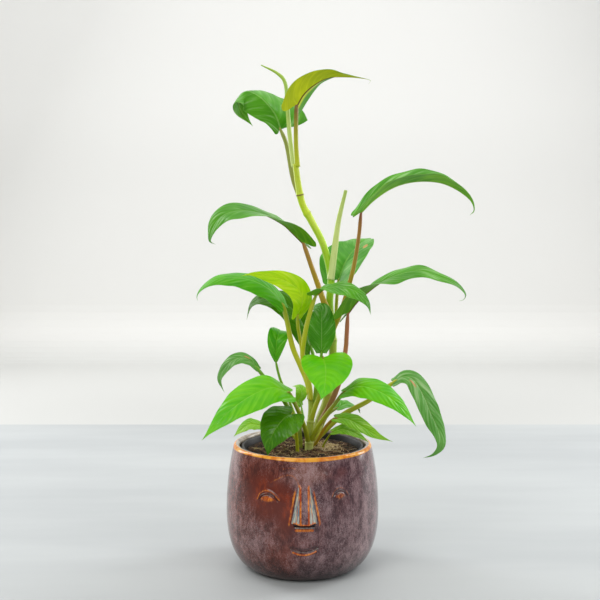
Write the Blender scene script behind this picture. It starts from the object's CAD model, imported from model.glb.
"""Looks of the potted philodendron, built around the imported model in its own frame."""
import math

import bpy
import numpy as np
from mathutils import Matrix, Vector


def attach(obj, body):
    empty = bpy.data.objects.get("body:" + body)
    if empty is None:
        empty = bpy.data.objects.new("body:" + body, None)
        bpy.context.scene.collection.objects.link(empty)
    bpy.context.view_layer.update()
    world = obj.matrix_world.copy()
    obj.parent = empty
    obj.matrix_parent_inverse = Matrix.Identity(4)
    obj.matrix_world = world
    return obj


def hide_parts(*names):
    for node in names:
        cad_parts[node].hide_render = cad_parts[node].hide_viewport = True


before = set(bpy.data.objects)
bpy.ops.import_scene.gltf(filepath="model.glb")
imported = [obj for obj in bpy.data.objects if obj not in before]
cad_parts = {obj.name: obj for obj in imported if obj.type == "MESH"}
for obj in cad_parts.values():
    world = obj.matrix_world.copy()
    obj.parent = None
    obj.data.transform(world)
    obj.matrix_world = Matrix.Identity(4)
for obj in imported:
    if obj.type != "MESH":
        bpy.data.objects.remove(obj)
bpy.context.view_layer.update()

MM = 0.001
TURN = 2 * math.pi
luck = np.random.default_rng(7)

# ---- sizes in millimetres, as in the part's source ---------------------------------------

POT_HEIGHT, RIM_RADIUS, BELLY_RADIUS, BELLY_HEIGHT = 127, 69.5, 77.5, 59
FOOT_RADIUS, POT_WALL, POT_FLOOR, BELLY_FULLNESS = 48, 6.5, 8, 2.3
NURSERY_TOP, NURSERY_FLOOR, NURSERY_RADIUS, NURSERY_BASE = 124.5, 8.3, 61.8, 43
NURSERY_WALL, NURSERY_LIP = 1.2, 5
SOIL_TOP, SOIL_RADIUS, SOIL_FLOOR = 115, 57.8, 9.9

# ---- leaf sizes: side veins on each half, and how they slant and curve to the margin ------

SIDE_VEINS, VEIN_SLANT, VEIN_CURVE = 11, 0.24, 1.2
STATIONS, COLUMNS = 56, 12
BLADE_HALF, MARGIN_THINNING, QUILT = 0.3, 0.16, 0.07
BOW, RIPPLE = 7, 0.9
SINUS, LOBE_REACH, LOBE_PEAK, FOLD_REACH = 0.2, 0.26, 0.7, 6


# ---- shader maths ------------------------------------------------------------------------

class Wire:
    """A shader socket that can stand in sums."""

    def __init__(self, paint, socket):
        self.paint = paint
        self.socket = socket

    def sum(self, operation, *others):
        return self.paint.node("Math", {"operation": operation}, [self, *others])

    def __add__(self, other):
        return self.sum("ADD", other)

    def __sub__(self, other):
        return self.sum("SUBTRACT", other)

    def __mul__(self, other):
        return self.sum("MULTIPLY", other)

    def __truediv__(self, other):
        return self.sum("DIVIDE", other)

    def __pow__(self, other):
        return self.sum("POWER", other)

    __radd__ = __add__
    __rmul__ = __mul__

    def __rsub__(self, other):
        return self.paint.node("Math", {"operation": "SUBTRACT"}, [other, self])

    def size(self):
        return self.sum("ABSOLUTE")

    def wave(self):
        return self.sum("COSINE")

    def between(self, low, high, start=0.0, end=1.0):
        """Smooth rise from start to end as the value goes from low to high."""
        return self.paint.node("MapRange", {"interpolation_type": "SMOOTHSTEP"},
                               [self, low, high, start, end])


class Paint:
    """One procedural material."""

    def __init__(self, name):
        self.material = bpy.data.materials.new(name)
        self.material.use_nodes = True
        self.tree = self.material.node_tree
        self.tree.nodes.clear()

    def node(self, kind, settings=None, sockets=(), output=0):
        """Adds a node: its settings first, then its sockets by order or by name."""
        made = self.tree.nodes.new("ShaderNode" + kind)
        for name, value in (settings or {}).items():
            if name == "stops":
                ramp = made.color_ramp
                for place, colour in value[1:-1]:
                    ramp.elements.new(place).color = (*colour, 1)
                ramp.elements[0].color = (*value[0][1], 1)
                ramp.elements[-1].color = (*value[-1][1], 1)
            else:
                setattr(made, name, value)
        pairs = sockets.items() if isinstance(sockets, dict) else enumerate(sockets)
        for key, value in pairs:
            socket = made.inputs[key]
            if isinstance(value, Wire):
                self.tree.links.new(value.socket, socket)
            elif isinstance(value, tuple) and len(value) == 3 and socket.type == "RGBA":
                socket.default_value = (*value, 1)
            else:
                socket.default_value = value
        return Wire(self, made.outputs[output])

    def mix(self, share, low, high):
        """A colour between two colours."""
        return self.node("Mix", {"data_type": "RGBA"}, {0: share, 6: low, 7: high}, output=2)

    def place(self):
        return self.node("TexCoord", output=3)

    def stretched(self, vector, scale):
        return self.node("VectorMath", {"operation": "MULTIPLY"}, [vector, scale])

    def mottle(self, scale, detail=3.0, rough=0.5, vector=None, stretch=None):
        vector = vector or self.place()
        if stretch:
            vector = self.stretched(vector, stretch)
        return self.node("TexNoise", {}, {"Vector": vector, "Scale": scale, "Detail": detail,
                                          "Roughness": rough})

    def split(self, vector):
        """The three numbers of a vector."""
        first = self.node("SeparateXYZ", {}, [vector])
        return [Wire(self, socket) for socket in first.socket.node.outputs]

    def parts(self, name):
        """The three numbers of a mesh attribute."""
        return self.split(self.node("Attribute", {"attribute_name": name}, output=1))

    def vector(self, x, y, z):
        return self.node("CombineXYZ", {}, [x, y, z])

    def bump(self, height, distance, strength=1.0):
        """A normal from a height, with the distance in metres."""
        return self.node("Bump", {}, {"Height": height, "Distance": distance,
                                      "Strength": strength})

    def skin(self, **sockets):
        names = {"Base_Color": "Base Color", "Coat_Weight": "Coat Weight",
                 "Coat_Roughness": "Coat Roughness", "Specular": "Specular IOR Level"}
        return self.node("BsdfPrincipled", {}, {names.get(k, k): v for k, v in sockets.items()})

    def done(self, surface):
        end = self.tree.nodes.new("ShaderNodeOutputMaterial")
        self.tree.links.new(surface.socket, end.inputs[0])
        return self.material


def tone(code):
    """The linear colour of a hexadecimal one."""
    values = [int(code[i:i + 2], 16) / 255 for i in (0, 2, 4)]
    return tuple(v / 12.92 if v <= 0.04045 else ((v + 0.055) / 1.055) ** 2.4 for v in values)


# ---- leaf, stalk and stem finishes ---------------------------------------------------------

def leaf_paint(name, dark, light, streak, vein, streaks=0.5, gloss=0.3, blemish=None):
    """Waxy leaf: side veins arch from the midrib to the margin, with pale streaks between."""
    paint = Paint(name)
    t, across, seed = paint.parts("leaf")
    out = across.size()
    lane = t - out ** VEIN_CURVE * VEIN_SLANT
    ribs = (lane * (TURN * SIDE_VEINS) + seed * 9).wave()
    drift = paint.mottle(1.0, 4, 0.55, paint.vector(lane * 15, out * 0.9, seed * 20))
    fine = paint.mottle(1.0, 3, 0.6, paint.vector(lane * 90, out * 3, seed * 30))
    cloud = paint.mottle(28, 3)
    colour = paint.mix((cloud * 0.75 + drift * 0.55).between(0.4, 0.9), tone(dark), tone(light))
    pale = drift.between(0.48, 0.75) * out.between(0.02, 0.35) * (1 - out.between(0.7, 1))
    colour = paint.mix(pale * streaks, colour, tone(streak))
    colour = paint.mix(ribs.between(0.93, 1) * 0.14, colour, tone(vein))
    colour = paint.mix(fine.between(0.55, 0.8) * 0.12, colour, tone(dark))
    width = 0.055 - t * 0.035
    rib = 1 - (out / width).between(0.35, 1)
    colour = paint.mix(rib * 0.5, colour, tone(vein))
    colour = paint.mix(out.between(0.965, 1) * 0.5, colour, tone(vein))
    if blemish:
        at_t, at_across, tint = blemish
        far = (((t - at_t) * 5) ** 2 + ((across - at_across) * 2.2) ** 2 + (fine - 0.5) * 0.12)
        colour = paint.mix(1 - far.between(0.02, 0.09), colour, tone(tint))
    swell = paint.mottle(1.0, 0, 0.4, paint.vector(lane * 12, out * 0.9, seed * 20))
    height = ribs * 0.16 + swell * 0.6 - rib * 0.5
    skin = paint.skin(Base_Color=colour, Roughness=gloss + fine * 0.14 - pale * 0.06,
                      Normal=paint.bump(height, 0.0007, 0.5), Specular=0.25)
    return paint.done(skin)


def underside_paint(name, dark, light, vein, rib_tone, gloss=0.48, shaded=None):
    """The duller lower side, with raised veins and a coloured midrib."""
    paint = Paint(name)
    t, across, seed = paint.parts("leaf")
    out = across.size()
    lane = t - out ** VEIN_CURVE * VEIN_SLANT
    ribs = (lane * (TURN * SIDE_VEINS) + seed * 9).wave()
    drift = paint.mottle(1.0, 3, 0.5, paint.vector(lane * 15, out * 1.5, seed * 20))
    fine = paint.mottle(1.0, 2, 0.5, paint.vector(lane * 60, out * 4, seed * 30))
    cloud = paint.mottle(30, 3)
    colour = paint.mix((cloud * 0.6 + drift * 0.7).between(0.4, 0.9), tone(dark), tone(light))
    colour = paint.mix(ribs.between(0.8, 1) * 0.3, colour, tone(vein))
    colour = paint.mix(fine.between(0.5, 0.75) * 0.25, colour, tone(dark))
    if shaded:
        colour = paint.mix((0 - across).between(0.3, 0.5), colour, tone(shaded))
    rib = 1 - (out / (0.085 - t * 0.05)).between(0.3, 1)
    colour = paint.mix(rib * 0.9, colour, tone(rib_tone))
    swell = paint.mottle(1.0, 0, 0.4, paint.vector(lane * 12, out * 1.5, seed * 20))
    height = ribs * 0.2 + swell * 0.4 + rib * 0.7
    skin = paint.skin(Base_Color=colour, Roughness=gloss + fine * 0.15,
                      Normal=paint.bump(height, 0.0007, 0.35), Specular=0.3)
    return paint.done(skin)


def stalk_paint(name, foot, middle, top, flush, flush_share=0.5, gloss=0.34):
    """Fleshy stalk whose colour changes along it, with a flush on one side and fine ribs."""
    paint = Paint(name)
    t, turn, seed = paint.parts("stalk")
    streaks = paint.mottle(1.0, 4, 0.6, paint.vector(t * 7, turn * 9, seed * 40))
    specks = paint.mottle(900, 2, 0.6)
    patches = paint.mottle(90, 3)
    colour = paint.node("ValToRGB", {"stops": [(0, tone(foot)), (0.45, tone(middle)),
                                               (1, tone(top))]}, [t + (patches - 0.5) * 0.3])
    lit = (turn * TURN).wave()
    flushed = (streaks * 1.3 + lit * 0.25).between(0.45, 0.95) * flush_share
    colour = paint.mix(flushed, colour, tone(flush))
    colour = paint.mix(specks.between(0.66, 0.74) * 0.35, colour, tone("6b4a1c"))
    height = streaks * 0.8 + specks * 0.2
    return paint.done(paint.skin(
        Base_Color=colour, Roughness=gloss + streaks * 0.18,
        Normal=paint.bump(height, 0.0004, 0.5), Coat_Weight=0.15, Coat_Roughness=0.2))


LEAF = {
    "bright": leaf_paint("bright_leaf", "309000", "5cb800", "a0d068", "88c840", 0.3),
    "front": leaf_paint("front_leaf_green", "4cb000", "78cc00", "98d850", "84cc30", 0.16, 0.26),
    "deep": leaf_paint("deep_leaf", "347000", "549000", "84b058", "74a030", 0.2, 0.2),
    "upper": leaf_paint("upper_leaf", "388400", "5caa18", "b8d8a0", "94c468", 0.5, 0.3),
    "back": leaf_paint("back_leaf_green", "308000", "54a814", "a8d084", "88c050", 0.4, 0.34,
                       blemish=(0.48, 0.62, "b88c48")),
    "lime": leaf_paint("young_leaf_lime", "94d400", "ccf000", "dcf864", "ccf03c", 0.35, 0.26),
    "fresh": leaf_paint("fresh_leaf", "64a80c", "94c828", "c8e08c", "b8d864", 0.4),
    "grey": leaf_paint("hanging_leaf_grey", "408420", "64a444", "b8d0a0", "a4bc78", 0.45, 0.36,
                       blemish=(0.2, 0.3, "b88c58")),
}
UNDER = {
    "green": underside_paint("leaf_underside", "489410", "7cc01c", "a8d050", "98c040"),
    "dark": underside_paint("leaf_underside_dark", "4c8c00", "70ac08", "8cbc30", "6a4020"),
    "olive": underside_paint("crown_leaf_underside", "a4b800", "c8d40c", "d4d830", "58180c",
                             0.34, "4c9408"),
    "pale": underside_paint("leaf_underside_pale", "6c9438", "94b45c", "bccc8c", "a8b470"),
}
STALK = {
    "green": stalk_paint("green_stalk", "b0c840", "78ac10", "68a010", "c0d454", 0.3),
    "olive": stalk_paint("olive_stalk", "b0bc28", "98a40c", "7c8c10", "c8b828", 0.4),
    "yellow": stalk_paint("yellow_stalk", "c8d03c", "bcc00c", "a4b010", "d8cc3c", 0.45),
    "orange": stalk_paint("orange_stalk", "c8b028", "bc981c", "946424", "d0a448", 0.5),
    "red": stalk_paint("red_stalk", "b0a81c", "a88c1c", "8c5024", "b07034", 0.5),
    "brown": stalk_paint("brown_stalk", "94702c", "b07440", "a05c38", "c88c5c", 0.5),
    "crown": stalk_paint("crown_stalk", "bcc818", "a4a80c", "6c3c14", "b8b830", 0.45),
    "top": stalk_paint("top_leaf_stalk", "a49c44", "949c44", "8c983c", "b4a870", 0.5),
}


def stem_paint(name, stops, scars, spotted=0.3):
    """Main stem: bare yellow-green between brown node scars."""
    paint = Paint(name)
    t, turn, seed = paint.parts("stalk")
    streaks = paint.mottle(1.0, 4, 0.6, paint.vector(t * 16, turn * 8, seed * 40))
    patches = paint.mottle(120, 4, 0.6)
    specks = paint.mottle(700, 2, 0.6)
    colour = paint.node("ValToRGB", {"stops": [(p, tone(c)) for p, c in stops]},
                        [t + (patches - 0.5) * 0.04])
    colour = paint.mix(streaks.between(0.45, 0.75) * 0.35, colour, tone("d8e478"))
    colour = paint.mix(specks.between(0.6, 0.7) * spotted, colour, tone("7c5a24"))
    for scar in scars:
        ring = 1 - ((t - scar).size() + (patches - 0.5) * 0.008).between(0.0012, 0.0045)
        colour = paint.mix(ring * patches.between(0.42, 0.6), colour, tone("6c4a20"))
    return paint.done(paint.skin(
        Base_Color=colour, Roughness=0.3 + streaks * 0.2,
        Normal=paint.bump(streaks * 0.7 + specks * 0.3, 0.0005, 0.5), Coat_Weight=0.2,
        Coat_Roughness=0.2))


# ---- mesh making -----------------------------------------------------------------------------

def piece(name, points, faces, materials, nodes, marks=None, slots=None, smooth=True):
    """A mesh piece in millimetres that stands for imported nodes."""
    mesh = bpy.data.meshes.new(name)
    mesh.from_pydata((np.asarray(points) * MM).tolist(), [], [tuple(f) for f in faces])
    for mark, values in (marks or {}).items():
        layer = mesh.attributes.new(mark, "FLOAT_VECTOR", "POINT")
        layer.data.foreach_set("vector", np.asarray(values, "f").ravel())
    for material in materials:
        mesh.materials.append(material)
    if slots is not None:
        mesh.polygons.foreach_set("material_index", np.asarray(slots, "i"))
    mesh.polygons.foreach_set("use_smooth", [smooth] * len(mesh.polygons))
    mesh.update()
    made = bpy.data.objects.new(name, mesh)
    bpy.context.scene.collection.objects.link(made)
    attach(made, "root")
    if nodes:
        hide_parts(*nodes)
    return made


def grown(points):
    """Points of the plant, written from the soil's edge level."""
    return np.array(points, float) + [0, 0, SOIL_TOP]


class Route:
    """A smooth line through points, measured by its length."""

    def __init__(self, points, fine=40):
        inner = np.array(points, float)
        whole = np.vstack([2 * inner[0] - inner[1], inner, 2 * inner[-1] - inner[-2]])
        run = []
        for a, b, c, d in zip(whole, whole[1:], whole[2:], whole[3:]):
            s = np.linspace(0, 1, fine, endpoint=False)[:, None]
            run.append(b + 0.5 * s * (c - a + s * (2 * a - 5 * b + 4 * c - d
                                                   + s * (3 * (b - c) + d - a))))
        self.line = np.vstack([*run, whole[-2:-1]])
        steps = np.linalg.norm(np.diff(self.line, axis=0), axis=1)
        self.length = steps.sum()
        self.share = np.concatenate([[0], np.cumsum(steps)]) / self.length

    def at(self, t):
        return np.stack([np.interp(t, self.share, self.line[:, k]) for k in range(3)], -1)

    def heading(self, t):
        ahead = self.at(np.clip(t + 0.004, 0, 1)) - self.at(np.clip(t - 0.004, 0, 1))
        return ahead / np.linalg.norm(ahead, axis=-1, keepdims=True)


def along(values, t, soft=0.05):
    """Evenly spaced values read smoothly at shares t."""
    fine = np.linspace(-0.3, 1.3, 321)
    read = np.interp(fine, np.linspace(0, 1, len(values)), values)
    reach = np.arange(-30, 31) / 200
    weight = np.exp(-(reach / soft) ** 2)
    read = np.convolve(np.pad(read, 30, mode="edge"), weight / weight.sum(), "valid")
    return np.interp(t, fine, read)


def frames(route, t, face):
    """Centre, heading and up at each share; up turns with the route and never spins."""
    centre, heading = route.at(t), route.heading(t)
    up, ups = np.array(face, float), []
    for ahead in heading:
        up = up - ahead * (up @ ahead)
        up /= np.linalg.norm(up)
        ups.append(up)
    return centre, heading, np.array(ups)


def smooth(low, high, value):
    s = np.clip((value - low) / (high - low), 0, 1)
    return s * s * (3 - 2 * s)


TUBE_FACE = (0.31, 0.87, 0.39)  # no route starts out this way


def tube(points, radii, sides=16, step=2.5, shape=None):
    """Closed rings along a route; shape(t, turn) scales the radius. Gives points, faces, marks."""
    route = Route(points)
    count = max(6, int(route.length / step))
    t = np.linspace(0, 1, count + 1)
    centre, heading, up = frames(route, t, TUBE_FACE)
    side = np.cross(heading, up)
    turn = np.arange(sides) / sides
    wide = along(radii, t, 0.03)[:, None] * np.ones(sides)
    if shape:
        wide = wide * shape(t[:, None], turn[None, :])
    spokes = (up[:, None] * np.cos(TURN * turn)[None, :, None]
              + side[:, None] * np.sin(TURN * turn)[None, :, None])
    rings = centre[:, None] + spokes * wide[:, :, None]
    a = np.arange(count * sides)
    b = a - a % sides + (a + 1) % sides
    faces = np.stack([a, a + sides, b + sides, b], 1).tolist()
    faces.append(tuple(range(sides)))
    faces.append(tuple(range((count + 1) * sides - 1, count * sides - 1, -1)))
    marks = np.stack([np.repeat(t, sides), np.tile(turn, count + 1),
                      np.full((count + 1) * sides, luck.random())], 1)
    return rings.reshape(-1, 3), faces, marks


def wrapped(rows, columns):
    """Faces of a grid of points whose columns close on themselves."""
    grid = np.arange(rows * columns).reshape(rows, columns)
    after = np.roll(grid, -1, 1)
    return np.stack([grid[:-1], after[:-1], after[1:], grid[1:]], -1).reshape(-1, 4).tolist()


def gathered(lumps):
    """Several lots of (points, faces, marks) as one."""
    points, faces, marks, start = [], [], [], 0
    for lump_points, lump_faces, lump_marks in lumps:
        points.append(lump_points)
        marks.append(lump_marks)
        faces += [tuple(int(i) + start for i in face) for face in lump_faces]
        start += len(lump_points)
    return np.vstack(points), faces, np.vstack(marks)


# ---- routes of the leaves, as in the part's source: each from its stem to its tip ---------------

LEAVES = {
    "crown_leaf": dict(
        stalk=[[-5, -5, 290], [-6.5, -7, 316]], radii=[2.5, 2],
        midrib=[[-6, -8, 348], [1, -7, 360], [12, -6, 370], [26, -4, 377], [42, -2, 378],
                [57, 0, 377], [67, 2, 375], [65, 4, 371]],
        face=[-0.3, 0.9, 0.2], roll=[0, 5, 35, 60, 65], width=16, base=0.95, widest=0.12,
        lobe=10, fold=[[40, 40, 30, 20], [6, 6, 6]], halves=[0.85, 1], point=2, top="upper",
        under="olive", petiole="crown"),
    "left_top_leaf": dict(
        stalk=[[2, 2, 249], [-5, 3.5, 266], [-10, 4, 281], [-16, 7, 312]], radii=[2.8, 2.4, 1.9],
        midrib=[[-22, 8, 327], [-28, 5, 343], [-41, 4, 358], [-55, 7, 365], [-64, 13, 359],
                [-62, 20, 346], [-50, 25, 331]],
        face=[0.15, -0.85, 0.3], roll=[0, 0, 0, 0, 50, 70, 70], width=25, widest=0.3, base=0.9,
        lobe=3, fold=[[-20, -20, -10, 0, 0], [0, -50, -60, -30, 0]],
        halves=[[0.3, 0.75, 0.9, 0.9, 0.8], [1.5, 1.3, 1.1, 1, 1]], top="upper",
        under="green", petiole="top"),
    "left_upper_leaf": dict(
        stalk=[[28, 9, 142], [22, 0, 154], [15, -6, 174], [9, -10, 191]], radii=[3.4, 2.6, 2],
        midrib=[[1, -12, 214], [-10, -14, 225], [-20, -15, 234], [-40, -16, 244],
                [-60, -18, 247], [-77, -20, 243], [-87, -22, 232], [-91, -22, 218],
                [-85, -21, 214]], face=[0.3, 0.8, 0.3], roll=[0, -60, -100, -100, -100], width=19,
        lobe=10, fold=[[10, 10, 25, 5, 0], [75, 10, -25, 5, 0]], top="upper", under="dark",
        petiole="orange", widest=0.45),
    "back_leaf": dict(
        stalk=[[31, 12, 118], [34, 18, 136], [35, 20, 155]], radii=[2, 1.7],
        midrib=[[37, 24, 175], [44, 32, 192], [53, 46, 204], [63, 64, 212], [74, 86, 216]],
        face=[-0.1, -0.6, 0.8], roll=[0, 0], width=29, base=0.6, lobe=8, fold=[[0, 0], [35, 25]],
        top="back", under="green", petiole="olive"),
    "right_upper_leaf": dict(
        stalk=[[31, 11, 126], [38, 7, 142], [44, 2, 162], [51, -3, 190], [56, -6, 222]],
        radii=[2.7, 2.2, 1.8],
        midrib=[[58, -8, 245], [70, -8, 257], [86, -8, 268], [102, -8, 274], [120, -8, 276],
                [138, -6, 274], [154, -4, 267], [167, -2, 257], [171, 0, 247], [167, 2, 242]],
        face=[-0.5, 0, 0.85], roll=[0, 0, 0], width=17, lobe=9, fold=[[45, 45], [25, 25]],
        top="upper", under="green", petiole="red", widest=0.45),
    "left_middle_leaf": dict(
        stalk=[[7, 0, 62], [4.5, -1, 74], [-1, -2, 88], [-10, -4, 110], [-15, -8, 134]],
        radii=[2.6, 2.7, 2.2],
        midrib=[[-19, -12, 153], [-24, -12, 161], [-37, -12, 172], [-54, -12, 179],
                [-75, -12, 181], [-91, -12, 177], [-101, -12, 169], [-105, -12, 162],
                [-104, -12, 157]], face=[0.7, -0.45, 0.45], roll=[0, 0], width=16, lobe=5,
        fold=[[-12, -12], [-12, -12]], top="bright", under="green", petiole="yellow"),
    "young_leaf": dict(
        stalk=[[7, 2, 56], [6, 9, 72], [3, 9, 88], [0, 4, 102], [-2.5, -6, 119], [-4.4, -17, 132]],
        radii=[2.2, 1.7],
        midrib=[[-5, -25, 144], [0, -32, 158], [-5, -38, 172], [-19, -43, 181], [-35, -46, 185],
                [-49, -48, 187], [-59, -49, 185]], face=[0.55, -0.8, 0.1], roll=[0, 0], width=11,
        lobe=4, fold=[[0, 0], [0, 0]], top="lime", under="green", petiole="yellow"),
    "hidden_leaf": dict(
        stalk=[[9, 1.5, 46], [13, 8, 60], [14, 13, 84]], radii=[2.2, 1.8],
        midrib=[[9, 18, 106], [1, 16, 130], [-11, 16, 147], [-25, 20, 155], [-42, 26, 156],
                [-53, 30, 149], [-58, 32, 133]], face=[0.5, -0.8, 0.3], roll=[0, 0], width=17,
        lobe=7, fold=[[0, 0], [0, 0]], top="deep", under="green", petiole="green"),
    "middle_leaf": dict(
        stalk=[[10, 0, 42], [13.5, -1, 54], [17, -3, 78]], radii=[2, 1.7],
        midrib=[[19, -12, 105], [19, -14, 122], [19, -14, 138], [18, -8, 149], [12, -2, 150],
                [4, 4, 142]], face=[0, -1, 0.05], roll=[0, 0], width=14, lobe=0,
        fold=[[4, 4], [4, 4]], top="upper", under="green", petiole="green", base=0.4, widest=0.35),
    "front_leaf": dict(
        stalk=[[9, -2, 36], [13, -7, 50], [19, -14, 68], [21, -20, 88]], radii=[2.6, 1.9],
        midrib=[[20, -26, 103], [22, -44, 97], [22, -60, 88], [20, -77, 79], [17, -89, 72]],
        face=[0, -0.45, 0.9], roll=[0, 0], width=25, lobe=5, fold=[[4, 4], [4, 4]], top="front",
        under="green", petiole="olive", base=0.9, halves=[1.08, 0.92], widest=0.22),
    "left_front_leaf": dict(
        stalk=[[6, -5, 14], [2, -13, 30], [-4, -22, 48]], radii=[2.5, 1.9],
        midrib=[[-13, -30, 68], [-30, -38, 75], [-49, -46, 69], [-68, -54, 57], [-84, -60, 42],
                [-97, -64, 28]], face=[-0.1, -0.6, 0.8], roll=[0, 0], width=21, lobe=6,
        fold=[[4, 4], [-14, -6]], top="front", under="green", petiole="olive"),
    "low_round_leaf": dict(
        stalk=[[-4, -11, -14], [-5, -13, 6], [-6, -16, 22], [-8, -21, 35]], radii=[2, 1.5],
        midrib=[[-9, -26, 47], [-18, -36, 44], [-27, -43, 34], [-32, -45.5, 22], [-34.5, -46, 8]],
        face=[-0.1, -0.65, 0.75], roll=[0, 0], width=21, lobe=6, fold=[[0, 0], [0, 0]], top="deep",
        under="green", petiole="yellow"),
    "left_arched_leaf": dict(
        stalk=[[-3.5, 4, 22], [-8, 2, 32], [-16, -1, 50], [-27, -5, 68], [-39, -8, 81]],
        radii=[2, 2.4, 1.7],
        midrib=[[-46, -8, 90], [-53, -8, 97], [-62, -9, 100], [-72, -11, 96], [-79, -13, 88],
                [-83, -14, 78], [-78, -14, 65]], face=[0.6, -0.5, 0.6], roll=[0, 0], width=8,
        lobe=4, fold=[[0, 0], [0, 0]], top="grey", under="green", petiole="green"),
    "small_upright_leaf": dict(
        stalk=[[-3, 6, 26], [-8, 10, 38], [-15, 10, 56], [-23, 9, 76]], radii=[1.6, 1.3],
        midrib=[[-27, 8, 93], [-27, 6, 105], [-26, 6, 115], [-24, 12, 122], [-22, 24, 123],
                [-20, 36, 115]], face=[0, -1, 0], roll=[0, 0], width=10.5, lobe=0,
        fold=[[8, 8], [8, 8]], top="bright", under="green", petiole="green", base=0.15, widest=0.5),
    "first_seedling_leaf": dict(
        stalk=[[-1, 6, 26], [1, 14, 34], [-1, 20, 44]], radii=[1, 0.8],
        midrib=[[-3, 22, 51], [-1, 24, 59], [-4, 30, 64], [-11, 36, 63]], face=[0, -1, 0],
        roll=[0, 0], width=6, lobe=1.5, fold=[[0, 0], [0, 0]], top="fresh", under="green",
        petiole="green"),
    "second_seedling_leaf": dict(
        stalk=[[-3, 7, 20], [-2, 14, 28], [-1, 22, 36]], radii=[1, 0.8],
        midrib=[[-1, 26, 44], [-6, 28, 48], [-11, 32, 50], [-16, 34, 47]], face=[0, -0.7, 0.7],
        roll=[0, 0], width=5, lobe=0, fold=[[0, 0], [0, 0]], top="fresh", under="green",
        petiole="green"),
    "right_front_leaf": dict(
        stalk=[[8, -4, 14], [15, -12, 30], [23, -18, 43], [32, -24, 56]], radii=[2.5, 1.8],
        midrib=[[41, -30, 69], [53, -36, 76], [67, -42, 75], [83, -48, 68], [97, -53, 56],
                [110, -57, 40]], face=[-0.2, -0.5, 0.85], roll=[0, 0], width=16, lobe=5,
        fold=[[-14, -8], [4, 4]], top="front", under="green", petiole="olive"),
    "right_hanging_leaf": dict(
        stalk=[[12, 7, 10], [20, 3, 20], [41, 0, 40], [68, -4, 56]], radii=[2.8, 2.6, 2],
        midrib=[[93, -8, 76], [101, -10, 81], [111, -13, 78], [120, -17, 64], [128, -20, 45],
                [136, -22, 27], [138, -24, 14], [131, -24, 5], [120, -24, 1]],
        face=[-0.45, -0.4, 0.8], roll=[0, 0], width=13, base=0.6, lobe=4, fold=[[0, 0], [0, 0]],
        top="grey", under="pale", petiole="yellow", widest=0.4),
    "right_low_leaf": dict(
        stalk=[[11, 6, 6], [16, -2, 15], [22, -10, 28], [28, -14, 36]], radii=[1.8, 1.4],
        midrib=[[33, -17, 40], [45, -22, 40], [59, -28, 34], [73, -33, 26], [89, -38, 21]],
        face=[-0.1, -0.45, 0.9], roll=[0, 0], width=10, lobe=3, fold=[[4, 4], [4, 4]], top="fresh",
        under="green", petiole="orange"),
    "rim_leaf": dict(
        stalk=[[19, 2, -14], [20, 0, 4], [24, -6, 15]], radii=[1.2, 0.9],
        midrib=[[30, -12, 25], [41, -14, 28], [54, -17, 24], [67, -20, 16]], face=[-0.1, -0.4, 0.9],
        roll=[0, 0], width=8, lobe=2, fold=[[4, 4], [4, 4]], top="fresh", under="green",
        petiole="olive"),
    "back_right_leaf": dict(
        stalk=[[11, 9, 8], [18, 16, 20], [26, 24, 34]], radii=[1.6, 1.3],
        midrib=[[36, 30, 41], [47, 38, 44], [57, 46, 39], [62, 54, 30]], face=[-0.3, -0.5, 0.8],
        roll=[0, 0], width=9, lobe=3, fold=[[4, 4], [4, 4]], top="upper", under="green",
        petiole="olive"),
    "back_left_leaf": dict(
        stalk=[[-3, 4, 10], [-12, 9, 18], [-30, 15, 25]], radii=[1.6, 1.3],
        midrib=[[-42, 16, 25], [-54, 14, 27], [-63, 12, 22], [-71, 10, 15]], face=[0.3, -0.4, 0.85],
        roll=[0, 0], width=9, lobe=3, fold=[[4, 4], [4, 4]], top="fresh", under="green",
        petiole="yellow"),
    "arching_leaf": dict(
        stalk=[[8.5, -2, 56], [7.5, -9, 70], [3.5, -14, 88], [0, -17, 104], [3, -28, 130],
                [8, -34, 151]], radii=[2.2, 2.5, 2],
        midrib=[[13, -36, 165], [20, -38, 171], [30, -40, 174], [44, -42, 173], [55, -44, 167],
                [63, -45, 158], [66, -45, 147]], face=[-0.5, 0.7, 0.5], roll=[0, 35, 70, 85],
        width=14, lobe=4, fold=[[50, 20, 0, 0], [0, -30, -10, 0]], halves=[0.8, 1], top="upper",
        under="dark", petiole="yellow", base=1),
    "right_middle_leaf": dict(
        stalk=[[15, 9, 26], [22, 4, 38], [32, -2, 60], [39, -6, 82], [43, -12, 108],
                [44, -16, 126]], radii=[3.2, 2.6, 2],
        midrib=[[45, -18, 145], [54, -18, 157], [66, -18, 168], [80, -18, 178], [97, -18, 185],
                [116, -18, 188], [136, -18, 182], [152, -18, 175], [161, -18, 165],
                [159, -18, 159], [154, -18, 158]], face=[-0.3, 0.85, 0.3],
        roll=[0, 20, 60, 90, 100, 105], width=16, lobe=12,
        fold=[[70, 45, 10, 0, 0], [5, -10, -35, 0, 0, 0]], halves=[0.8, 1], top="upper",
        under="dark", petiole="brown", base=0.9),
}


# ---- leaf blades -------------------------------------------------------------------------------

def half_width(t, widest, base, point):
    """Half width as a share of the widest, rounded at the stalk and drawn out at the tip."""
    low = base + (1 - base) * np.sin(TURN / 4 * np.minimum(t / widest, 1))
    high = np.cos(TURN / 4 * np.clip((t - widest) / (1 - widest), 0, 1)).clip(0) ** point
    shape = np.where(t < widest, low, high)
    return shape * (1 - 0.07 * (1 - smooth(0, 0.1, t))) * (1 - 0.15 * smooth(0.8, 0.95, t))


def sweep_back(t, share):
    """How far back a lobe beside the stalk reaches, as a share of its full length."""
    place = (share - SINUS) / (LOBE_PEAK - SINUS)
    back = (1 - (1 - place) ** 2) * np.clip(1 - t / LOBE_REACH, 0, 1) ** 2
    return np.where(share > SINUS, back, 0)


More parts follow.
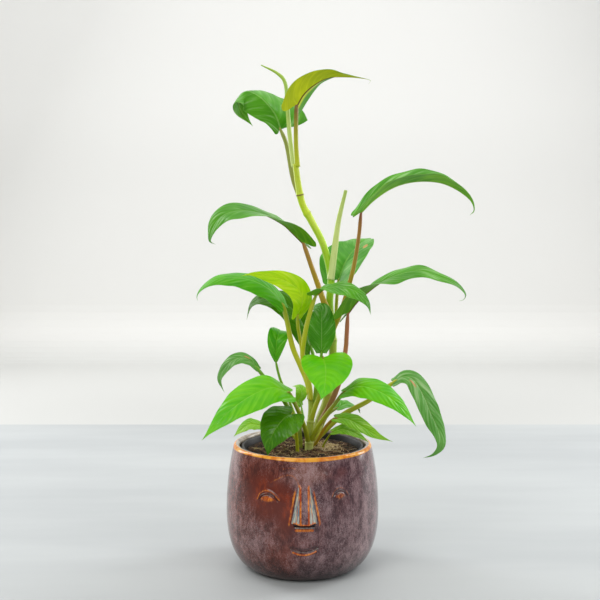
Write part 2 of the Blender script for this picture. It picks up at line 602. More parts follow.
def closed_sheet(upper, lower, marks):
    """Upper skin, lower skin and a sharp margin, with the material slot of each face."""
    count = len(marks)
    grid = np.arange(count).reshape(upper.shape[:2])
    quads = np.stack([grid[:-1, :-1], grid[:-1, 1:], grid[1:, 1:], grid[1:, :-1]], -1)
    quads = quads.reshape(-1, 4)
    upper, lower = upper.reshape(-1, 3), lower.reshape(-1, 3)
    edge = np.concatenate([grid[0], grid[1:, -1], grid[-1, -2::-1], grid[-2:0:-1, 0]])
    n = len(edge)
    i = np.arange(n)
    j = (i + 1) % n
    margin = np.stack([i, i + n, j + n, j], 1) + 2 * count
    points = np.vstack([upper, lower, upper[edge], lower[edge]])
    faces = np.vstack([quads, quads[:, ::-1] + count, margin]).tolist()
    slots = [0] * len(quads) + [1] * len(quads) + [0] * n
    return points, faces, np.vstack([marks, marks, marks[edge], marks[edge]]), slots


def blade(name, midrib, face, roll, width, lobe, fold, top, under, widest=0.28, base=0.6,
          halves=(1, 1), point=1.3, **rest):
    """A thin leaf with its own upper skin, lower skin and margin."""
    route = Route(grown(midrib))
    t = np.linspace(0, 1, STATIONS + 1)
    centre, heading, up = frames(route, t, face)
    turn = np.radians(along(roll, t))[:, None]
    right = np.cross(heading, up)
    up = up * np.cos(turn) + right * np.sin(turn)
    side = np.cross(heading, up)
    reach = width * half_width(t, widest, base, point)
    fade = np.minimum(1, reach / FOLD_REACH)
    seed = luck.random()
    phases = luck.random(4) * TURN
    shares = np.linspace(0, 1, COLUMNS + 1)
    middle = (shares[1:] + shares[:-1]) / 2
    parts = []
    for sign, wide, angles in ((-1, halves[0], fold[0]), (1, halves[1], fold[1])):
        lift = np.radians(along(angles, t))[:, None] * fade[:, None]
        lean = lift + np.radians(BOW) * fade[:, None] * (1 - 2 * middle[None])
        span = (reach * along(np.atleast_1d(wide), t))[:, None] / COLUMNS
        outward = np.concatenate([np.zeros((len(t), 1)), np.cumsum(np.cos(lean) * span, 1)], 1)
        upward = np.concatenate([np.zeros((len(t), 1)), np.cumsum(np.sin(lean) * span, 1)], 1)
        wave = (np.sin(t * TURN * 3.1 + phases[sign]) * 0.6
                + np.sin(t * TURN * 5.7 + phases[sign + 1]) * 0.4)
        upward += RIPPLE * (wave * fade * np.minimum(1, reach / 14))[:, None] * shares[None] ** 2.5
        part = (centre[:, None] + side[:, None] * (sign * outward)[..., None]
                + up[:, None] * upward[..., None]
                - heading[:, None] * (lobe * sweep_back(t[:, None], shares[None]))[..., None])
        parts.append(part)
    skin = np.concatenate([parts[0][:, :0:-1], parts[1]], 1)
    across = np.concatenate([-shares[:0:-1], shares])
    normal = np.cross(np.gradient(skin, axis=1), np.gradient(skin, axis=0))
    normal /= np.linalg.norm(normal, axis=2, keepdims=True) + 1e-9
    far = np.abs(across[None]) * reach[:, None]
    lane = t[:, None] - np.abs(across[None]) ** VEIN_CURVE * VEIN_SLANT
    quilt = np.cos(lane * TURN * SIDE_VEINS + seed * 9) * QUILT * np.minimum(1, far / 5)
    quilt = quilt * (1 - smooth(0.85, 1, np.abs(across[None])))
    thick = (BLADE_HALF - MARGIN_THINNING * across[None] ** 2) * np.minimum(
        1, 0.25 + reach[:, None] / 6)
    rib = np.exp(-(far / (1.2 - 0.5 * t[:, None])) ** 2) * (1 - 0.75 * t[:, None])
    upper = skin + normal * (quilt + thick - 0.35 * rib)[..., None]
    lower = skin + normal * (quilt - thick - 0.75 * rib)[..., None]
    marks = np.stack([np.repeat(t, len(across)), np.tile(across, len(t)),
                      np.full(t.size * across.size, seed)], 1)
    points, faces, marks, slots = closed_sheet(upper, lower, marks)
    piece(name, points, faces, [LEAF[top], UNDER[under]], [f"{name}_blade"],
          {"leaf": marks}, slots)


def leaf_stalk(name, stalk, midrib, radii, petiole, **rest):
    """A leaf's stalk, thick where it clasps its stem, that ends inside the blade's base."""
    points = grown(list(stalk) + [midrib[0], midrib[1]])
    ahead = points[-1] - points[-2]
    points[-1] = points[-2] + ahead / np.linalg.norm(ahead) * 3 - np.array([0, 0, 0.6])
    fine = np.interp(np.linspace(0, 1, 12), np.linspace(0, 1, len(radii)), radii)
    fine[0] *= 1.12
    fine[-1] *= 0.45
    fine[-2] *= 1.05

    def channel(t, turn):
        dip = np.exp(-((turn - 0.5) / 0.09) ** 2)
        return 1 - 0.16 * dip * (1 - t) + 0.025 * np.cos(turn * TURN * 5) * (1 - t * 0.5)

    lump = tube(points, fine, shape=channel)
    return piece(f"{name}_petiole", lump[0], lump[1], [STALK[petiole]], [f"{name}_stalk"],
                 {"stalk": lump[2]})


for name, leaf in LEAVES.items():
    blade(name, **leaf)
    leaf_stalk(name, **leaf)


# ---- stems, sheath and rolled leaf ---------------------------------------------------------------

STEMS = {
    "main_stem": dict(
        points=[[9, 9, -6], [10, 8, 4], [17, 9, 31], [25, 11, 53], [30, 12, 82], [31, 12, 110],
                [29, 10, 134], [27.5, 8, 156], [28.5, 6, 180], [21, 3, 212], [9, 1, 236],
                [0, 0, 253], [-4, -2, 271], [-7, -4, 293]],
        radii=[4.4, 4.4, 4, 3.7, 3.5, 3.5, 3], scars=[0.22, 0.4, 0.575, 0.835, 0.9],
        stops=[(0, "c4c868"), (0.3, "a4b430"), (0.5, "8cc014"), (0.62, "94d00c"),
               (0.82, "c8e020"), (1, "bccc2c")]),
    "front_shoot": dict(
        points=[[6, -5, -6], [6.5, -4, 5], [8, -2, 30], [9, 0, 48], [7, 0, 64]],
        radii=[4.2, 4.2, 3.8, 3.2, 2.6], scars=[0.25, 0.55],
        stops=[(0, "d4dc9c"), (0.25, "c4cc64"), (0.6, "a8b838"), (1, "98ac28")]),
    "left_shoot": dict(
        points=[[-2, 5, -6], [-3, 4, 4], [-3.5, 4, 18], [-3, 5, 30]],
        radii=[3.4, 3.4, 2.4], scars=[0.5],
        stops=[(0, "c8c884"), (0.5, "a4b03c"), (1, "8ca428")]),
}


def stem(name, points, radii, scars, stops):
    """A shoot with a low ring at each node."""
    def ringed(t, turn):
        rings = sum(0.14 * np.exp(-((t - s) / 0.006) ** 2) + 0.07 * np.exp(-((t - s) / 0.02) ** 2)
                    for s in scars)
        return 1 + rings + 0.02 * np.cos(turn * TURN * 4)

    lump = tube(grown(points), radii, sides=28, step=0.9, shape=ringed)
    paint = stem_paint(f"{name}_skin", stops, scars)
    piece(f"{name}_skin", lump[0], lump[1], [paint], [name], {"stalk": lump[2]})


for name, shoot in STEMS.items():
    stem(name, **shoot)


def spear(name, node, points, radii, material, shape):
    """A pointed young piece with a seam or a keel."""
    lump = tube(grown(points), radii, sides=24, step=1.2, shape=shape)
    piece(name, lump[0], lump[1], [material], [node], {"stalk": lump[2]})


def furled(t, turn):
    """The seam of a leaf that is still rolled up."""
    place = (turn - 0.25 - 0.35 * t) % 1.0
    return 1 - 0.2 * np.exp(-((place - 0.5) / 0.05) ** 2) + 0.1 * smooth(0.5, 0.62, place) * (
        1 - smooth(0.62, 1, place))


def clasping(t, turn):
    """A keeled sheath, open along its back."""
    return 1 - 0.28 * np.exp(-((turn - 0.5) / 0.1) ** 2) + 0.05 * np.cos(turn * TURN * 2)


spear("rolled_new_leaf", "rolled_leaf",
      [[-9, -2, 290], [-12.5, 1, 320], [-15, 3, 349], [-17, 4, 372], [-25, 4, 382],
       [-41, 4, 390]], [2.2, 2.4, 2.2, 2, 1.7, 0.5],
      stalk_paint("rolled_leaf_skin", "c8dc80", "bcd868", "98bc28", "e0ecb0", 0.45), furled)
spear("pale_sheath", "leaf_sheath",
      [[28.5, 5, 178], [32, 0, 207], [36, -2, 237], [43, -3, 267]], [4, 3.4, 2.6, 1.8],
      stalk_paint("sheath_skin", "d8e89c", "d0e084", "a8c05c", "e8f0bc", 0.5), clasping)


# ---- glazed pot ----------------------------------------------------------------------------------

FACE_TURN = math.radians(1.3)
FACE_LEAN = 0.04  # the eyes and mouth rise a little to the right


def pot_radius(z):
    """Outside radius at a height: a full belly over a narrow foot, drawn in to the rim."""
    z = np.asarray(z, float)
    fall = np.clip(1 - z / BELLY_HEIGHT, 0, 1)
    low = FOOT_RADIUS + (BELLY_RADIUS - FOOT_RADIUS) * np.sqrt(1 - fall ** BELLY_FULLNESS)
    rise = np.clip((z - BELLY_HEIGHT) / (POT_HEIGHT - BELLY_HEIGHT), 0, 1)
    return np.where(z < BELLY_HEIGHT, low, BELLY_RADIUS - (BELLY_RADIUS - RIM_RADIUS) * rise ** 2)


def bell(value, width):
    """One at nought, and soon nothing past the width."""
    return np.exp(-(value / width) ** 2)


def off_line(u, z, line):
    """Distance from points on the skin to a drawn line."""
    line = Route([(a, 0, b) for a, b in line], fine=8).line[:, [0, 2]]
    best = np.full(u.shape, 1e9)
    for (a, b), (c, d) in zip(line, line[1:]):
        s = np.clip(((u - a) * (c - a) + (z - b) * (d - b)) / ((c - a) ** 2 + (d - b) ** 2 + 1e-9),
                    0, 1)
        best = np.minimum(best, np.hypot(u - a - s * (c - a), z - b - s * (d - b)))
    return best


class GlazedSkin:
    """What the pot's skin does at each point: relief outwards, and where the glaze breaks
    amber, pools pale or lies dark."""

    def __init__(self, u, z):
        self.u, self.z = u, z
        self.lifted = z - FACE_LEAN * u
        self.raised, self.amber, self.pool, self.dark = (np.zeros(u.shape) for _ in range(4))


def nose(skin):
    """A wedge with a flat ridge, a sharp lower edge and a hollow under it."""
    u, z = skin.u, skin.z
    down = np.clip((102 - z) / 36, -1, 1.1)
    half = 5.5 + 7 * np.clip(down, 0, 1)
    depth = (1 + 9 * np.clip(down, 0, 1) ** 0.9) * smooth(-0.12, 0.1, down)
    depth = depth * smooth(64.6, 66.2, z)
    flank = np.clip((half - np.abs(u)) / (half - 3.5), 0, 1)
    wedge = np.where(np.abs(u) < 3.5, 1 - 0.05 * (1 - (u / 3.5) ** 2), flank * (0.9 + 0.1 * flank))
    skin.raised += depth * wedge
    on_nose = smooth(-0.5, 0.5, half - np.abs(u)) * smooth(64.5, 66, z) * (1 - smooth(98, 104, z))
    ridge = bell(np.abs(u) - 3.6, 0.9) * smooth(65, 66, z) * (1 - smooth(97, 106, z))
    skin.amber += ridge + bell(z - 66.3, 1.2) * (np.abs(u) < 10.5) * 0.9
    skin.pool += on_nose * smooth(4.2, 5.2, np.abs(u)) * 0.9
    skin.amber += on_nose * bell(np.abs(u) - (3.6 + (half - 3.6) * 0.45), 0.7) * 0.6
    halo = bell(np.abs(u) - half - 2.3, 1.2) * smooth(60, 66, z) * (1 - smooth(92, 102, z))
    skin.amber += halo * 0.75
    crease = bell(np.abs(u) - half - 0.4, 0.9) * smooth(62, 68, z) * (1 - smooth(92, 102, z))
    skin.raised -= 0.5 * crease
    skin.dark += crease * 0.35
    slot = smooth(61.6, 62.4, z) * (1 - smooth(64.4, 65.4, z)) * (1 - smooth(9.5, 11, np.abs(u)))
    skin.raised -= 1.6 * slot
    skin.dark += slot
    skin.pool += bell(z - 61.2, 0.6) * (1 - smooth(9, 11, np.abs(u))) * 0.8
    ledge = bell(z - 58.8, 1.5) * (1 - smooth(8, 10.5, np.abs(u)))
    skin.raised += 0.9 * ledge
    skin.amber += ledge


def closed_eyes(skin):
    """An upper lid, a fold above it and the swell of the eye below."""
    for middle, rise, narrow, strength in ((-36.6, 0.8, 1.0, 1.0), (35.8, 0.6, 1.25, 0.7)):
        v = (skin.u - middle) * narrow
        w = skin.lifted - 89.6 - rise
        lid = off_line(v, w, [(-10.2, -3.2), (-6.5, 0.6), (-0.5, 2.6), (5.5, 1), (10.2, -3.4)])
        crown = off_line(v, w, [(-11.6, -3), (-8, 3.2), (-1.6, 6.2), (5.6, 3.8), (12.6, -2.6)])
        swell = np.exp(-((v / 8.2) ** 2 + ((w + 1.6) / 3.4) ** 2) ** 2)
        skin.raised += 0.6 * bell(crown, 1.2) - 1.0 * bell(lid, 0.85) + 1.1 * swell
        skin.amber += (bell(crown, 0.75) * 0.6 + swell * (1 - bell(lid, 1.2)) * 0.7) * strength
        skin.dark += bell(lid, 0.6) * 0.7 * strength
        skin.pool += bell(lid - 1.1, 0.45) * smooth(-0.5, 1.5, w) * 0.6
        skin.amber += bell(off_line(v, w, [(-9.5, -3), (-4, -5.5), (4, -5.6), (9.6, -3)]), 0.8) * 0.2


def brows_and_cheeks(skin):
    """Faint ridges, deeper on the left, with a line over the left brow."""
    u, z = skin.u, skin.z
    for sign, strength in ((-1, 1.0), (1, 0.45)):
        brow = off_line(u * -sign, z, [(-33, 103), (-27, 106.6), (-19, 110.6), (-12, 110.8),
                                       (-7.4, 107), (-5.2, 101)])
        skin.raised += strength * 0.5 * bell(brow, 2.6)
        skin.amber += strength * 0.4 * bell(brow, 1.2)
        skin.pool += strength * 0.2 * bell(brow - 2.6, 0.7)
        socket = np.exp(-(((u * -sign + 22) / 13) ** 2 + ((z - 98) / 9) ** 2) ** 1.5)
        skin.raised -= 0.9 * strength * socket
        cheek = off_line(u * -sign, z, [(-46.5, 83), (-49.6, 75), (-50.4, 66), (-47.6, 58.6),
                                        (-41, 55.8)])
        skin.raised += strength * 0.5 * bell(cheek, 1.1)
        skin.amber += strength * 0.16 * bell(cheek, 0.8)
        skin.pool += strength * 0.2 * bell(cheek - 1.2, 0.6)
    skin.amber += 0.4 * bell(off_line(u, z, [(-20, 116.6), (-14, 118), (-8, 117.2)]), 1.3)


def smile(skin):
    """A cut line over a soft lower lip."""
    u, lifted = skin.u, skin.lifted
    mouth = off_line(u, lifted, [(-13, 40), (-7, 37.6), (0, 36.6), (7, 37.6), (13, 40)])
    lip = off_line(u, lifted, [(-11, 37), (-5.5, 34.8), (0, 34), (5.5, 34.8), (11, 37)])
    over = off_line(u, lifted, [(-13, 42.6), (-6, 40.6), (0, 40), (6, 40.6), (13, 42.6)])
    skin.raised += -1.4 * bell(mouth, 0.95) + 0.95 * bell(lip, 1.5) + 0.3 * bell(over, 1.6)
    skin.amber += bell(lip, 0.95) * 0.95
    skin.pool += bell(mouth - 0.4, 0.5) * 0.7 * smooth(-1, 1, mouth)
    skin.dark += bell(over, 1.5) * 0.55 + bell(mouth, 0.5) * 0.4


def pot():
    """The pot as one skin: foot, belly with its face, rounded lip, inside wall and floor."""
    lip = POT_WALL / 2
    top = POT_HEIGHT - lip
    heel = POT_FLOOR + 3
    foot = [(0, 1), (20, 1), (40, 1), (43, 0.8), (44.6, 0.15), (46.5, 0)]
    low = 22 * np.linspace(0, 1, 34)[:-1] ** 1.7
    high = np.linspace(22, top, 200)
    outside = [(float(pot_radius(z)), z) for z in np.concatenate([low, high])]
    edge = float(pot_radius(top)) - lip
    rounding = [(edge + lip * math.cos(a), top + lip * math.sin(a))
                for a in np.linspace(0, math.pi, 22)[1:]]
    inside = [(float(pot_radius(z)) - POT_WALL, z) for z in np.linspace(top, heel, 26)[1:]]
    floor = [(float(pot_radius(heel)) - POT_WALL - 3, POT_FLOOR), (30, POT_FLOOR),
             (0, POT_FLOOR)]
    rows = np.array(foot + outside + rounding + inside + floor)
    is_outside = np.zeros(len(rows))
    is_outside[len(foot):len(foot) + len(outside)] = 1
    front = np.radians(np.arange(-52, 52, 0.36))
    back = np.radians(np.arange(52, 308, 1.3))
    angle = np.concatenate([front, back])
    radius, height = rows[:, :1], rows[:, 1:]
    bend = (angle + math.pi) % TURN - math.pi
    u = radius * bend[None]
    z = height * np.ones(u.shape)
    skin = GlazedSkin(u, z)
    for feature in (nose, closed_eyes, brows_and_cheeks, smile):
        feature(skin)
    near = 1 - smooth(48, 62, np.abs(u))
    raised, amber, pool, dark = (part * is_outside[:, None] * near for part in
                                 (skin.raised, skin.amber, skin.pool, skin.dark))
    wobble = 0.16 * np.sin(3 * angle + 0.4) + 0.1 * np.sin(5 * angle + 2)
    rim = smooth(123.2, 124.6, height + wobble[None] * 3) * (radius > edge + 0.4)
    wide = radius + raised
    spin = angle + FACE_TURN
    points = np.stack([wide * np.sin(spin), -wide * np.cos(spin), z], -1)
    rust = (np.exp(-(((u + 40) / 25) ** 2 + ((z - 90) / 27) ** 2))
            + 0.7 * np.exp(-(((u + 15) / 9) ** 2 + ((z - 72) / 26) ** 2))
            + 0.3 * np.exp(-(((u - 16) / 7) ** 2 + ((z - 72) / 20) ** 2))
            + 0.5 * np.exp(-(((u - 36) / 16) ** 2 + ((z - 112) / 9) ** 2)))
    blush = np.exp(-(((u - 4) / 22) ** 2 + ((z - 112) / 13) ** 2))
    inner = (np.arange(len(rows)) >= len(foot) + len(outside) + 9)[:, None] * np.ones(u.shape)
    around = 0.6 * np.sin(bend)[None] * np.ones(u.shape)
    glaze = np.stack([amber.clip(0, 1), pool.clip(0, 1), dark.clip(0, 1)], -1)
    zone = np.stack([rust.clip(0, 1), blush, rim.clip(0, 1)], -1)
    body = np.stack([inner, around, np.zeros(u.shape)], -1)
    piece("face_pot", points.reshape(-1, 3), wrapped(*u.shape), [glaze_paint()],
          ["glazed_pot"], {"glaze": glaze, "zone": zone, "body": body})


def glaze_paint():
    """Runny reactive glaze: plum with a grey bloom, amber where it breaks over an edge."""
    paint = Paint("reactive_glaze")
    amber, pool, dark = paint.parts("glaze")
    rust, blush, rim = paint.parts("zone")
    inner, around, _ = paint.parts("body")
    place = paint.place()
    z = paint.split(place)[2]
    run = (1.0, 1.0, 0.4)
    speck = paint.mottle(2100, 4, 0.7, place, (1.0, 1.0, 0.5))
    grain = paint.mottle(620, 3, 0.6, place, run)
    cloud = paint.mottle(120, 4, 0.6, place, (1.0, 1.0, 0.6))
    broad = paint.mottle(24, 3, 0.5, place, (1.0, 1.0, 0.8))
    blotch = (grain * 0.5 + cloud * 0.5)
    brown = paint.mix(blotch.between(0.4, 0.62), tone("48180e"), tone("74301c"))
    mauve = paint.mix(blotch.between(0.4, 0.62), tone("40222a"), tone("6c484e"))
    colour = paint.mix((around + (broad - 0.5) * 0.9).between(-0.45, 0.3), brown, mauve)
    heat = rust * 1.25 + (broad - 0.5) * 0.8 + (cloud - 0.5) * 0.7
    colour = paint.mix(heat.between(0.3, 0.95) * 0.85, colour, tone("64200c"))
    glow = heat.between(0.7, 1.3) * cloud.between(0.45, 0.65)
    colour = paint.mix(glow * 0.45, colour, tone("a8400e"))
    flush = (blush + (cloud - 0.5) * 0.9).between(0.2, 0.95)
    colour = paint.mix(flush * 0.35, colour, tone("a8684e"))
    bloom = (speck + (cloud - 0.5) * 0.45 + (broad - 0.5) * 0.5 + (grain - 0.5) * 0.3
             - rust * 0.24 + blush * 0.13)
    colour = paint.mix(bloom.between(0.4, 0.78) * 0.78, colour, tone("ac9496"))
    low = 1 - (z * 1000 + (cloud - 0.5) * 14).between(4, 34)
    colour = paint.mix(low * 0.72, colour, tone("1d1214"))
    colour = paint.mix((dark * 0.9).between(0.05, 0.85), colour, tone("180c10"))
    bands = paint.mottle(800, 2, 0.5, place, (1.0, 1.0, 0.04)).between(0.4, 0.6)
    cool = paint.mix(bands, tone("6d8490"), tone("c4c0ac"))
    colour = paint.mix((pool + (grain - 0.5) * 0.3).between(0.25, 0.85), colour, cool)
    warm = paint.mix((grain * 0.6 + cloud * 0.4).between(0.4, 0.62), tone("a83c06"), tone("e88a20"))
    broken = (amber + (grain - 0.5) * 0.5 + (speck - 0.5) * 0.2).between(0.22, 0.75)
    colour = paint.mix(broken * 0.92, colour, warm)
    lip = paint.mix(cloud.between(0.35, 0.65), tone("b9ab9c"), tone("8e8178"))
    colour = paint.mix(inner.between(0, 0.9), colour, lip)
    honey = paint.mix(cloud.between(0.4, 0.6), tone("d8780e"), tone("f0a838"))
    colour = paint.mix((rim + (cloud - 0.5) * 0.35).between(0.3, 0.8), colour, honey)
    height = grain * 0.25 + cloud * 0.5 + speck * 0.1
    return paint.done(paint.skin(
        Base_Color=colour, Roughness=0.16 + speck.between(0.5, 0.7) * 0.12 + low * 0.1,
        Normal=paint.bump(height, 0.0005, 0.25), Coat_Weight=0.2, Coat_Roughness=0.08,
        Specular=0.4))


pot()


# ---- nursery pot and soil ------------------------------------------------------------------------

def turned(name, profile, material, node, segments=160):
    """A round piece from (radius, height) pairs."""
    rows = np.array(profile, float)
    spin = np.arange(segments) / segments * TURN
    points = np.stack([rows[:, :1] * np.sin(spin), -rows[:, :1] * np.cos(spin),
                       rows[:, 1:] * np.ones(segments)], -1)
    piece(name, points.reshape(-1, 3), wrapped(len(rows), segments), [material], [node])


def nursery_inside(z):
    """Inside radius of the tapered wall at a height."""
    low = NURSERY_FLOOR + NURSERY_WALL
    base = NURSERY_BASE - NURSERY_WALL
    return base + (NURSERY_RADIUS - 2 * NURSERY_WALL - base) * (z - low) / (NURSERY_TOP - low)


def nursery_paint():
    paint = Paint("black_nursery_plastic")
    scuff = paint.mottle(300, 4, 0.65)
    dust = paint.mottle(60, 4, 0.6)
    colour = paint.mix(dust.between(0.5, 0.8) * 0.5, tone("0a0a0a"), tone("1e1b17"))
    colour = paint.mix(scuff.between(0.62, 0.78) * 0.3, colour, tone("34322f"))
    return paint.done(paint.skin(Base_Color=colour, Roughness=0.32 + scuff * 0.3,
                                 Normal=paint.bump(scuff + dust, 0.0003, 0.3)))


def nursery_pot():
    """A thin tapered pot with a rounded lip that is turned down outside."""
    skirt, bulge = NURSERY_TOP - NURSERY_LIP, 0.8
    middle = NURSERY_RADIUS - NURSERY_WALL
    lip = [(middle, skirt), (NURSERY_RADIUS - 0.2, skirt), (NURSERY_RADIUS, skirt + 0.4),
           (NURSERY_RADIUS, NURSERY_TOP - bulge)]
    lip += [(middle + NURSERY_WALL * math.cos(a), NURSERY_TOP - bulge + bulge * math.sin(a))
            for a in np.linspace(0.2, math.pi, 9)]
    inside = [(nursery_inside(z), z)
              for z in np.linspace(NURSERY_TOP - 1.5, NURSERY_FLOOR + NURSERY_WALL, 14)]
    base = [(0, NURSERY_FLOOR), (NURSERY_BASE - 1, NURSERY_FLOOR), (NURSERY_BASE, NURSERY_FLOOR + 1)]
    turned("nursery_pot_wall", base + lip + inside + [(0, NURSERY_FLOOR + NURSERY_WALL)],
           nursery_paint(), "nursery_pot")


nursery_pot()


def rough_noise(x, y, size, seed):
    """Soft bumps in the plane from a few crossing waves."""
    own = np.random.default_rng(seed)
    total = np.zeros(np.shape(x))
    for _ in range(14):
        a = own.random() * TURN
        k = TURN / (size * (0.6 + 0.9 * own.random()))
        total += np.sin(k * (x * math.cos(a) + y * math.sin(a)) + own.random() * TURN)
    return total / 3.7


def soil_height(x, y):
    """Top of the soil: a low mound with lumps of three sizes, calm at its edge."""
    out = np.hypot(x, y) / SOIL_RADIUS
    rise = 3.4 + 0.9 * (1 - np.clip(out, 0, 1) ** 2.2)
    bumps = rough_noise(x, y, 17, 1) * 0.9 + rough_noise(x, y, 6, 2) * 0.55
    return SOIL_TOP + rise + (bumps + rough_noise(x, y, 2.6, 3) * 0.35) * (1 - smooth(0.9, 1, out))


def soil_paint():
    paint = Paint("potting_mix")
    x, y, _ = paint.split(paint.place())
    lump = paint.mottle(260, 5, 0.65)
    grit = paint.mottle(900, 4, 0.7)
    damp = paint.mottle(45, 3)
    colour = paint.mix((lump * 0.6 + grit * 0.4).between(0.38, 0.62), tone("140d09"),
                       tone("46301f"))
    colour = paint.mix(grit.between(0.6, 0.72) * 0.7, colour, tone("8c6c50"))
    colour = paint.mix(damp.between(0.5, 0.7) * 0.55, colour, tone("120d0a"))
    dry = 1 - (((x - 0.024) * 45) ** 2 + ((y - 0.004) * 50) ** 2 + (lump - 0.5) * 2).between(0.2, 1)
    colour = paint.mix(dry * 0.6, colour, tone("a8895f"))
    return paint.done(paint.skin(Base_Color=colour, Roughness=0.95,
                                 Normal=paint.bump(lump * 0.6 + grit * 0.6, 0.0016, 1.0)))


def soil():
    """The lumpy top in fine rings, then a plain body down to the nursery pot's floor."""
    segments = 260
    rings = np.linspace(0, 1, 90)[:, None]
    spin = np.arange(segments) / segments * TURN
    x = SOIL_RADIUS * rings * np.sin(spin)
    y = -SOIL_RADIUS * rings * np.cos(spin)
    top = np.stack([x, y, soil_height(x, y)], -1)
    sides = [np.stack([r * np.sin(spin), -r * np.cos(spin), np.full(segments, z)], -1)
             for r, z in ((SOIL_RADIUS - 0.05, SOIL_TOP - 1), (nursery_inside(60) - 1, 60),
                          (nursery_inside(11) - 1.3, SOIL_FLOOR), (0, SOIL_FLOOR))]
    rows = np.concatenate([top, np.stack(sides)])[::-1]
    piece("soil_body", rows.reshape(-1, 3), wrapped(len(rows), segments), [soil_paint()],
          ["potting_soil"])


def strand_paint(name, dark, light, rough=0.8):
    paint = Paint(name)
    t, turn, seed = paint.parts("stalk")
    tint = paint.mottle(1.0, 2, 0.5, paint.vector(seed * 37, t * 2, 0.5))
    colour = paint.mix(tint.between(0.3, 0.7), tone(dark), tone(light))
    grain = paint.mottle(1400, 2)
    return paint.done(paint.skin(Base_Color=colour, Roughness=rough,
                                 Normal=paint.bump(grain, 0.0003, 0.6)))


STEM_FOOT, STEM_CLEAR = 5, 7
STRAND_EDGE, STRAND_LIMIT = 52, 56


def strand_line(x, y, length, lift):
    """A curved line over the soil that stays inside the nursery pot."""
    long = length * (0.5 + luck.random())
    heading = luck.random() * TURN
    curl = luck.normal() * 1.1
    line = []
    for s in np.linspace(-0.5, 0.5, 6):
        a = heading + curl * s
        px, py = x + math.cos(a) * long * s, y + math.sin(a) * long * s
        out = math.hypot(px, py)
        if out > STRAND_LIMIT:
            px, py = px * STRAND_LIMIT / out, py * STRAND_LIMIT / out
        up = lift * (0.6 + luck.random() * 1.4)
        line.append((px, py, float(soil_height(np.array(px), np.array(py))) + up))
    return line


def strands(name, count, spread, length, thickness, paint, middle=(0, 0), lift=0.5):
    """Coir fibres that lie on the soil."""
    lumps = []
    while len(lumps) < count:
        x, y = np.array(middle) + luck.normal(size=2) * spread
        if math.hypot(x, y) > STRAND_EDGE or math.hypot(x - STEM_FOOT, y) < STEM_CLEAR:
            continue
        line = strand_line(x, y, length, lift)
        thin = thickness * (0.6 + 0.8 * luck.random())
        lumps.append(tube(line, [thin * 0.5, thin, thin, thin * 0.4], sides=5, step=2))
    points, faces, marks = gathered(lumps)
    piece(name, points, faces, [paint], [], {"stalk": marks})


def crumbs(name, count, size, paint):
    """Lumps of bark and peat."""
    lumps = []
    while len(lumps) < count:
        x, y = luck.normal(size=2) * 30
        if math.hypot(x, y) > 55:
            continue
        wide = size * (0.35 + luck.random() ** 2 * 1.3)
        base = float(soil_height(np.array(x), np.array(y)))
        tilt = luck.normal(size=3) * 0.6 + np.array([0, 0, 0.1])
        line = np.array([(x, y, base)]) + np.outer(np.linspace(-0.7, 0.9, 4), tilt) * wide
        bumpy = luck.random((9, 7)) * 0.5 + 0.75

        def knobbly(t, turn, bumpy=bumpy):
            return bumpy[:t.shape[0], :turn.shape[1]]

        lumps.append(tube(line, [wide * 0.35, wide, wide * 0.9, wide * 0.3], sides=7,
                          step=wide, shape=knobbly))
    points, faces, marks = gathered(lumps)
    piece(name, points, faces, [paint], [], {"stalk": marks}, smooth=False)


soil()
strands("brown_coir", 260, 30, 14, 0.28, strand_paint("brown_coir_fibre", "3c2616", "8a6440"))
strands("pale_coir", 170, 26, 18, 0.24, strand_paint("pale_coir_fibre", "8a6e48", "d0b888"))
strands("dry_clump", 190, 6.5, 9, 0.3, strand_paint("dry_clump_fibre", "a08458", "dcc8a0"), (24, 4),
        1.4)
crumbs("bark_crumbs", 420, 1.5, strand_paint("bark_crumb", "1c120c", "6c4c34", 0.9))


# ---- floor, camera and light ---------------------------------------------------------------------

FLOOR_FRONT, FLOOR_END, FLOOR_BEND, WALL_TOP = -1500, 1290, 120, 2600


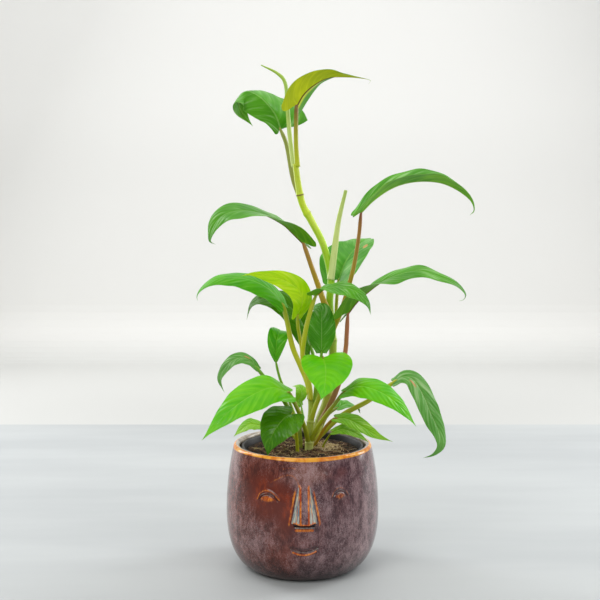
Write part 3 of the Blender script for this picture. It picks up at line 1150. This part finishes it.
def studio():
    """A pale floor that bends up into a white wall. Only the near floor has the floor's tone."""
    run = [(FLOOR_FRONT, 0), (FLOOR_END, 0)]
    bend = [(FLOOR_END + FLOOR_BEND * math.sin(a), FLOOR_BEND - FLOOR_BEND * math.cos(a))
            for a in np.linspace(0, TURN / 4, 12)[1:]]
    line = run + bend + [(FLOOR_END + FLOOR_BEND, WALL_TOP)]
    mesh = bpy.data.meshes.new("studio")
    points = [(x * MM, y * MM, z * MM) for y, z in line for x in (-3500, 3500)]
    faces = [(2 * i, 2 * i + 1, 2 * i + 3, 2 * i + 2) for i in range(len(line) - 1)]
    mesh.from_pydata(points, [], faces)
    paint = Paint("studio_surface")
    place = paint.place()
    _, y, z = paint.split(place)
    haze = paint.mottle(3, 4, 0.6, place, (0.3, 1.4, 1.0))
    table = paint.mix(haze.between(0.35, 0.65), tone("aaaeb0"), tone("b6babb"))
    wall = paint.mix(y.between(0.68, 1.2), tone("c0c1bf"), tone("d4d5d3"))
    wall = paint.mix(z.between(0, 0.07), wall, tone("e0e0de"))
    wall = paint.mix(z.between(0.4, 0.6), wall, tone("e5e5e3"))
    colour = paint.mix(y.between(0.671, 0.675), table, wall)
    mesh.materials.append(paint.done(paint.skin(
        Base_Color=colour, Roughness=0.62, Normal=paint.bump(haze, 0.001, 0.1))))
    floor = bpy.data.objects.new("studio", mesh)
    bpy.context.scene.collection.objects.link(floor)


def camera():
    """Eye a little above the plant's middle, looking slightly down."""
    lens = bpy.data.cameras.new("camera")
    lens.sensor_width = 36
    lens.lens = 66
    lens.clip_end = 20
    eye = bpy.data.objects.new("camera", lens)
    eye.location = (-0.0025, -1.1, 0.382)
    eye.rotation_euler = (math.radians(90 - 5.7), 0, 0)
    bpy.context.scene.collection.objects.link(eye)
    bpy.context.scene.camera = eye


def softbox(name, place, aim, width, height, power, shade=(1, 1, 1)):
    """A square lamp that faces its aim."""
    lamp = bpy.data.lights.new(name, "AREA")
    lamp.shape = "RECTANGLE"
    lamp.size, lamp.size_y = width, height
    lamp.energy = power
    lamp.color = shade
    held = bpy.data.objects.new(name, lamp)
    held.location = place
    held.rotation_euler = (Vector(aim) - Vector(place)).to_track_quat("-Z", "Y").to_euler()
    bpy.context.scene.collection.objects.link(held)


def light():
    """Soft daylight, with pale windows at both sides for the glaze to mirror."""
    world = bpy.data.worlds.new("daylight")
    world.use_nodes = True
    sky = world.node_tree.nodes["Background"]
    sky.inputs["Color"].default_value = (1, 0.99, 0.97, 1)
    sky.inputs["Strength"].default_value = 0.42
    bpy.context.scene.world = world
    bpy.context.scene.view_settings.view_transform = "Standard"
    middle = (0, 0, 0.25)
    softbox("front_left", (-1.0, -1.6, 1.7), middle, 1.2, 1.2, 21, (1, 0.98, 0.94))
    softbox("front_right", (1.3, -1.3, 1.0), middle, 0.9, 1.2, 5.5)
    softbox("overhead", (0.1, 0.2, 2.2), middle, 1.6, 1.6, 9)
    softbox("left_window", (-1.0, 0.6, 0.7), (0, 0, 0.15), 0.4, 1.3, 10)
    softbox("right_window", (1.1, 0.45, 0.7), (0, 0, 0.15), 0.4, 1.3, 12)
    softbox("wall_wash", (0, 0.5, 1.9), (0, 1.4, 0.6), 2.6, 0.6, 7)


studio()
camera()
light()
